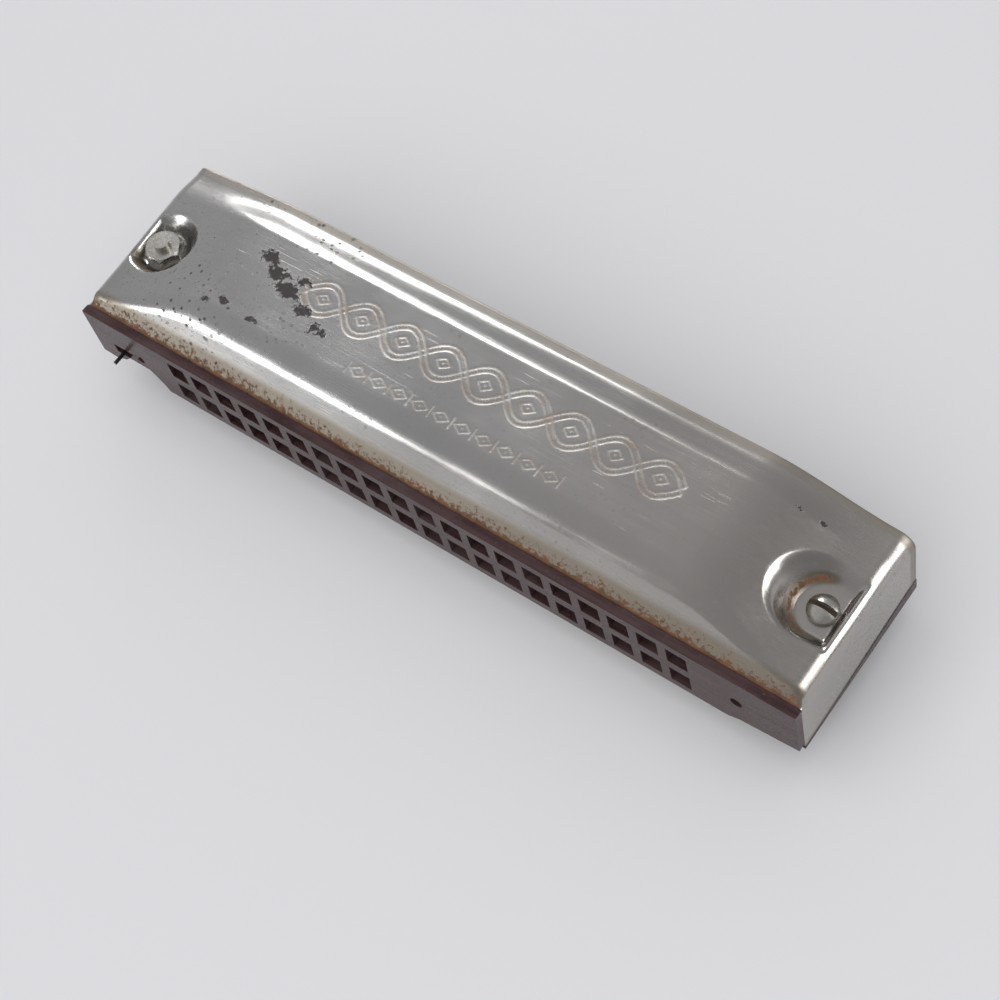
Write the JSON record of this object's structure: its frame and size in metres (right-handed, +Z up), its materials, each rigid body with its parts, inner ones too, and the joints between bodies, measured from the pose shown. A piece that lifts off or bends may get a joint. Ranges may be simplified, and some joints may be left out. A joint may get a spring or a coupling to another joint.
{
  "type": "chromatic harmonica",
  "caption": "Slide-type chromatic harmonica without its mouthpiece: worn metal covers over a dark comb with two rows of square openings, brass reeds and bolted ends.",
  "frame": {"origin": "on the flat underside of the bottom cover, midway along the length and depth of the comb", "axes": "+X along the row of openings from the low notes to the high notes, +Y from the mouth side to the open back, +Z up"},
  "size_m": [0.1228, 0.0306, 0.0258],
  "materials": {
    "comb_lacquer": "worn glossy maroon-brown lacquer",
    "cover_nickel": "worn, pitted nickel plate over steel",
    "plate_brass": "tarnished brass sheet",
    "reed_brass": "filed brass",
    "rivet_brass": "hammered brass",
    "nail_steel": "dull steel",
    "valve_leather": "thin split leather",
    "fastener_steel": "nickelled steel with rust in its corners",
    "spring_steel": "blackened spring wire"
  },
  "bodies": {
    "harmonica_body": {"comb": "comb_lacquer", "upper_reed_plate": "plate_brass", "lower_reed_plate": "plate_brass", "top_cover": "cover_nickel", "bottom_cover": "cover_nickel", "right_cover_bolt": "fastener_steel", "right_cover_nut": "fastener_steel", "left_cover_bolt": "fastener_steel", "left_cover_nut": "fastener_steel", "upper_plate_nails": "nail_steel", "lower_plate_nails": "nail_steel", "upper_reed_rivets": "rivet_brass", "lower_reed_rivets": "rivet_brass", "upper_outer_valves": "valve_leather", "upper_inner_valves": "valve_leather", "lower_outer_valves": "valve_leather", "lower_inner_valves": "valve_leather"},
    "slide_return_spring": {"slide_return_spring": "spring_steel"},
    "upper_blow_reed_01": {"upper_blow_reed_01": "reed_brass"},
    "upper_draw_reed_01": {"upper_draw_reed_01": "reed_brass"},
    "upper_blow_reed_02": {"upper_blow_reed_02": "reed_brass"},
    "upper_draw_reed_02": {"upper_draw_reed_02": "reed_brass"},
    "upper_blow_reed_03": {"upper_blow_reed_03": "reed_brass"},
    "upper_draw_reed_03": {"upper_draw_reed_03": "reed_brass"},
    "upper_blow_reed_04": {"upper_blow_reed_04": "reed_brass"},
    "upper_draw_reed_04": {"upper_draw_reed_04": "reed_brass"},
    "upper_blow_reed_05": {"upper_blow_reed_05": "reed_brass"},
    "upper_draw_reed_05": {"upper_draw_reed_05": "reed_brass"},
    "upper_blow_reed_06": {"upper_blow_reed_06": "reed_brass"},
    "upper_draw_reed_06": {"upper_draw_reed_06": "reed_brass"},
    "upper_blow_reed_07": {"upper_blow_reed_07": "reed_brass"},
    "upper_draw_reed_07": {"upper_draw_reed_07": "reed_brass"},
    "upper_blow_reed_08": {"upper_blow_reed_08": "reed_brass"},
    "upper_draw_reed_08": {"upper_draw_reed_08": "reed_brass"},
    "upper_blow_reed_09": {"upper_blow_reed_09": "reed_brass"},
    "upper_draw_reed_09": {"upper_draw_reed_09": "reed_brass"},
    "upper_blow_reed_10": {"upper_blow_reed_10": "reed_brass"},
    "upper_draw_reed_10": {"upper_draw_reed_10": "reed_brass"},
    "lower_blow_reed_01": {"lower_blow_reed_01": "reed_brass"},
    "lower_draw_reed_01": {"lower_draw_reed_01": "reed_brass"},
    "lower_blow_reed_02": {"lower_blow_reed_02": "reed_brass"},
    "lower_draw_reed_02": {"lower_draw_reed_02": "reed_brass"},
    "lower_blow_reed_03": {"lower_blow_reed_03": "reed_brass"},
    "lower_draw_reed_03": {"lower_draw_reed_03": "reed_brass"},
    "lower_blow_reed_04": {"lower_blow_reed_04": "reed_brass"},
    "lower_draw_reed_04": {"lower_draw_reed_04": "reed_brass"},
    "lower_blow_reed_05": {"lower_blow_reed_05": "reed_brass"},
    "lower_draw_reed_05": {"lower_draw_reed_05": "reed_brass"},
    "lower_blow_reed_06": {"lower_blow_reed_06": "reed_brass"},
    "lower_draw_reed_06": {"lower_draw_reed_06": "reed_brass"},
    "lower_blow_reed_07": {"lower_blow_reed_07": "reed_brass"},
    "lower_draw_reed_07": {"lower_draw_reed_07": "reed_brass"},
    "lower_blow_reed_08": {"lower_blow_reed_08": "reed_brass"},
    "lower_draw_reed_08": {"lower_draw_reed_08": "reed_brass"},
    "lower_blow_reed_09": {"lower_blow_reed_09": "reed_brass"},
    "lower_draw_reed_09": {"lower_draw_reed_09": "reed_brass"},
    "lower_blow_reed_10": {"lower_blow_reed_10": "reed_brass"},
    "lower_draw_reed_10": {"lower_draw_reed_10": "reed_brass"}
  },
  "joints": [
    {"name": "slide_return_spring_flex", "type": "hinge", "parent": "harmonica_body", "child": "slide_return_spring", "pos_m": [-0.0558, -0.005, 0.0119], "axis": [0, 0, 1], "range_deg": [-6, 13], "stiffness_Nm_per_rad": 0.05},
    {"name": "upper_blow_reed_01_swing", "type": "hinge", "parent": "harmonica_body", "child": "upper_blow_reed_01", "pos_m": [-0.04342, 0.0078, 0.01758], "axis": [1, 0, 0], "range_deg": [-3, 3], "stiffness_Nm_per_rad": 0.01},
    {"name": "upper_draw_reed_01_swing", "type": "hinge", "parent": "harmonica_body", "child": "upper_draw_reed_01", "pos_m": [-0.03884, 0.00741, 0.01903], "axis": [1, 0, 0], "range_deg": [-3, 3], "stiffness_Nm_per_rad": 0.01},
    {"name": "upper_blow_reed_02_swing", "type": "hinge", "parent": "harmonica_body", "child": "upper_blow_reed_02", "pos_m": [-0.03427, 0.00701, 0.01758], "axis": [1, 0, 0], "range_deg": [-3, 3], "stiffness_Nm_per_rad": 0.01},
    {"name": "upper_draw_reed_02_swing", "type": "hinge", "parent": "harmonica_body", "child": "upper_draw_reed_02", "pos_m": [-0.0297, 0.00662, 0.01903], "axis": [1, 0, 0], "range_deg": [-3, 3], "stiffness_Nm_per_rad": 0.01},
    {"name": "upper_blow_reed_03_swing", "type": "hinge", "parent": "harmonica_body", "child": "upper_blow_reed_03", "pos_m": [-0.02514, 0.00622, 0.01758], "axis": [1, 0, 0], "range_deg": [-3, 3], "stiffness_Nm_per_rad": 0.01},
    {"name": "upper_draw_reed_03_swing", "type": "hinge", "parent": "harmonica_body", "child": "upper_draw_reed_03", "pos_m": [-0.02056, 0.00583, 0.01903], "axis": [1, 0, 0], "range_deg": [-3, 3], "stiffness_Nm_per_rad": 0.01},
    {"name": "upper_blow_reed_04_swing", "type": "hinge", "parent": "harmonica_body", "child": "upper_blow_reed_04", "pos_m": [-0.01599, 0.00543, 0.01758], "axis": [1, 0, 0], "range_deg": [-3, 3], "stiffness_Nm_per_rad": 0.01},
    {"name": "upper_draw_reed_04_swing", "type": "hinge", "parent": "harmonica_body", "child": "upper_draw_reed_04", "pos_m": [-0.01142, 0.00504, 0.01903], "axis": [1, 0, 0], "range_deg": [-3, 3], "stiffness_Nm_per_rad": 0.01},
    {"name": "upper_blow_reed_05_swing", "type": "hinge", "parent": "harmonica_body", "child": "upper_blow_reed_05", "pos_m": [-0.00685, 0.00464, 0.01758], "axis": [1, 0, 0], "range_deg": [-3, 3], "stiffness_Nm_per_rad": 0.01},
    {"name": "upper_draw_reed_05_swing", "type": "hinge", "parent": "harmonica_body", "child": "upper_draw_reed_05", "pos_m": [-0.00229, 0.00425, 0.01903], "axis": [1, 0, 0], "range_deg": [-3, 3], "stiffness_Nm_per_rad": 0.01},
    {"name": "upper_blow_reed_06_swing", "type": "hinge", "parent": "harmonica_body", "child": "upper_blow_reed_06", "pos_m": [0.00229, 0.00385, 0.01758], "axis": [1, 0, 0], "range_deg": [-3, 3], "stiffness_Nm_per_rad": 0.01},
    {"name": "upper_draw_reed_06_swing", "type": "hinge", "parent": "harmonica_body", "child": "upper_draw_reed_06", "pos_m": [0.00685, 0.00346, 0.01903], "axis": [1, 0, 0], "range_deg": [-3, 3], "stiffness_Nm_per_rad": 0.01},
    {"name": "upper_blow_reed_07_swing", "type": "hinge", "parent": "harmonica_body", "child": "upper_blow_reed_07", "pos_m": [0.01142, 0.00306, 0.01758], "axis": [1, 0, 0], "range_deg": [-3, 3], "stiffness_Nm_per_rad": 0.01},
    {"name": "upper_draw_reed_07_swing", "type": "hinge", "parent": "harmonica_body", "child": "upper_draw_reed_07", "pos_m": [0.01599, 0.00267, 0.01903], "axis": [1, 0, 0], "range_deg": [-3, 3], "stiffness_Nm_per_rad": 0.01},
    {"name": "upper_blow_reed_08_swing", "type": "hinge", "parent": "harmonica_body", "child": "upper_blow_reed_08", "pos_m": [0.02056, 0.00227, 0.01758], "axis": [1, 0, 0], "range_deg": [-3, 3], "stiffness_Nm_per_rad": 0.01},
    {"name": "upper_draw_reed_08_swing", "type": "hinge", "parent": "harmonica_body", "child": "upper_draw_reed_08", "pos_m": [0.02514, 0.00188, 0.01903], "axis": [1, 0, 0], "range_deg": [-3, 3], "stiffness_Nm_per_rad": 0.01},
    {"name": "upper_blow_reed_09_swing", "type": "hinge", "parent": "harmonica_body", "child": "upper_blow_reed_09", "pos_m": [0.0297, 0.00148, 0.01758], "axis": [1, 0, 0], "range_deg": [-3, 3], "stiffness_Nm_per_rad": 0.01},
    {"name": "upper_draw_reed_09_swing", "type": "hinge", "parent": "harmonica_body", "child": "upper_draw_reed_09", "pos_m": [0.03427, 0.00109, 0.01903], "axis": [1, 0, 0], "range_deg": [-3, 3], "stiffness_Nm_per_rad": 0.01},
    {"name": "upper_blow_reed_10_swing", "type": "hinge", "parent": "harmonica_body", "child": "upper_blow_reed_10", "pos_m": [0.03884, 0.00069, 0.01758], "axis": [1, 0, 0], "range_deg": [-3, 3], "stiffness_Nm_per_rad": 0.01},
    {"name": "upper_draw_reed_10_swing", "type": "hinge", "parent": "harmonica_body", "child": "upper_draw_reed_10", "pos_m": [0.04342, 0.0003, 0.01903], "axis": [1, 0, 0], "range_deg": [-3, 3], "stiffness_Nm_per_rad": 0.01},
    {"name": "lower_blow_reed_01_swing", "type": "hinge", "parent": "harmonica_body", "child": "lower_blow_reed_01", "pos_m": [-0.04342, 0.0078, 0.00822], "axis": [1, 0, 0], "range_deg": [-3, 3], "stiffness_Nm_per_rad": 0.01},
    {"name": "lower_draw_reed_01_swing", "type": "hinge", "parent": "harmonica_body", "child": "lower_draw_reed_01", "pos_m": [-0.03884, 0.00741, 0.00677], "axis": [1, 0, 0], "range_deg": [-3, 3], "stiffness_Nm_per_rad": 0.01},
    {"name": "lower_blow_reed_02_swing", "type": "hinge", "parent": "harmonica_body", "child": "lower_blow_reed_02", "pos_m": [-0.03427, 0.00701, 0.00822], "axis": [1, 0, 0], "range_deg": [-3, 3], "stiffness_Nm_per_rad": 0.01},
    {"name": "lower_draw_reed_02_swing", "type": "hinge", "parent": "harmonica_body", "child": "lower_draw_reed_02", "pos_m": [-0.0297, 0.00662, 0.00677], "axis": [1, 0, 0], "range_deg": [-3, 3], "stiffness_Nm_per_rad": 0.01},
    {"name": "lower_blow_reed_03_swing", "type": "hinge", "parent": "harmonica_body", "child": "lower_blow_reed_03", "pos_m": [-0.02514, 0.00622, 0.00822], "axis": [1, 0, 0], "range_deg": [-3, 3], "stiffness_Nm_per_rad": 0.01},
    {"name": "lower_draw_reed_03_swing", "type": "hinge", "parent": "harmonica_body", "child": "lower_draw_reed_03", "pos_m": [-0.02056, 0.00583, 0.00677], "axis": [1, 0, 0], "range_deg": [-3, 3], "stiffness_Nm_per_rad": 0.01},
    {"name": "lower_blow_reed_04_swing", "type": "hinge", "parent": "harmonica_body", "child": "lower_blow_reed_04", "pos_m": [-0.01599, 0.00543, 0.00822], "axis": [1, 0, 0], "range_deg": [-3, 3], "stiffness_Nm_per_rad": 0.01},
    {"name": "lower_draw_reed_04_swing", "type": "hinge", "parent": "harmonica_body", "child": "lower_draw_reed_04", "pos_m": [-0.01142, 0.00504, 0.00677], "axis": [1, 0, 0], "range_deg": [-3, 3], "stiffness_Nm_per_rad": 0.01},
    {"name": "lower_blow_reed_05_swing", "type": "hinge", "parent": "harmonica_body", "child": "lower_blow_reed_05", "pos_m": [-0.00685, 0.00464, 0.00822], "axis": [1, 0, 0], "range_deg": [-3, 3], "stiffness_Nm_per_rad": 0.01},
    {"name": "lower_draw_reed_05_swing", "type": "hinge", "parent": "harmonica_body", "child": "lower_draw_reed_05", "pos_m": [-0.00229, 0.00425, 0.00677], "axis": [1, 0, 0], "range_deg": [-3, 3], "stiffness_Nm_per_rad": 0.01},
    {"name": "lower_blow_reed_06_swing", "type": "hinge", "parent": "harmonica_body", "child": "lower_blow_reed_06", "pos_m": [0.00229, 0.00385, 0.00822], "axis": [1, 0, 0], "range_deg": [-3, 3], "stiffness_Nm_per_rad": 0.01},
    {"name": "lower_draw_reed_06_swing", "type": "hinge", "parent": "harmonica_body", "child": "lower_draw_reed_06", "pos_m": [0.00685, 0.00346, 0.00677], "axis": [1, 0, 0], "range_deg": [-3, 3], "stiffness_Nm_per_rad": 0.01},
    {"name": "lower_blow_reed_07_swing", "type": "hinge", "parent": "harmonica_body", "child": "lower_blow_reed_07", "pos_m": [0.01142, 0.00306, 0.00822], "axis": [1, 0, 0], "range_deg": [-3, 3], "stiffness_Nm_per_rad": 0.01},
    {"name": "lower_draw_reed_07_swing", "type": "hinge", "parent": "harmonica_body", "child": "lower_draw_reed_07", "pos_m": [0.01599, 0.00267, 0.00677], "axis": [1, 0, 0], "range_deg": [-3, 3], "stiffness_Nm_per_rad": 0.01},
    {"name": "lower_blow_reed_08_swing", "type": "hinge", "parent": "harmonica_body", "child": "lower_blow_reed_08", "pos_m": [0.02056, 0.00227, 0.00822], "axis": [1, 0, 0], "range_deg": [-3, 3], "stiffness_Nm_per_rad": 0.01},
    {"name": "lower_draw_reed_08_swing", "type": "hinge", "parent": "harmonica_body", "child": "lower_draw_reed_08", "pos_m": [0.02514, 0.00188, 0.00677], "axis": [1, 0, 0], "range_deg": [-3, 3], "stiffness_Nm_per_rad": 0.01},
    {"name": "lower_blow_reed_09_swing", "type": "hinge", "parent": "harmonica_body", "child": "lower_blow_reed_09", "pos_m": [0.0297, 0.00148, 0.00822], "axis": [1, 0, 0], "range_deg": [-3, 3], "stiffness_Nm_per_rad": 0.01},
    {"name": "lower_draw_reed_09_swing", "type": "hinge", "parent": "harmonica_body", "child": "lower_draw_reed_09", "pos_m": [0.03427, 0.00109, 0.00677], "axis": [1, 0, 0], "range_deg": [-3, 3], "stiffness_Nm_per_rad": 0.01},
    {"name": "lower_blow_reed_10_swing", "type": "hinge", "parent": "harmonica_body", "child": "lower_blow_reed_10", "pos_m": [0.03884, 0.00069, 0.00822], "axis": [1, 0, 0], "range_deg": [-3, 3], "stiffness_Nm_per_rad": 0.01},
    {"name": "lower_draw_reed_10_swing", "type": "hinge", "parent": "harmonica_body", "child": "lower_draw_reed_10", "pos_m": [0.04342, 0.0003, 0.00677], "axis": [1, 0, 0], "range_deg": [-3, 3], "stiffness_Nm_per_rad": 0.01}
  ]
}
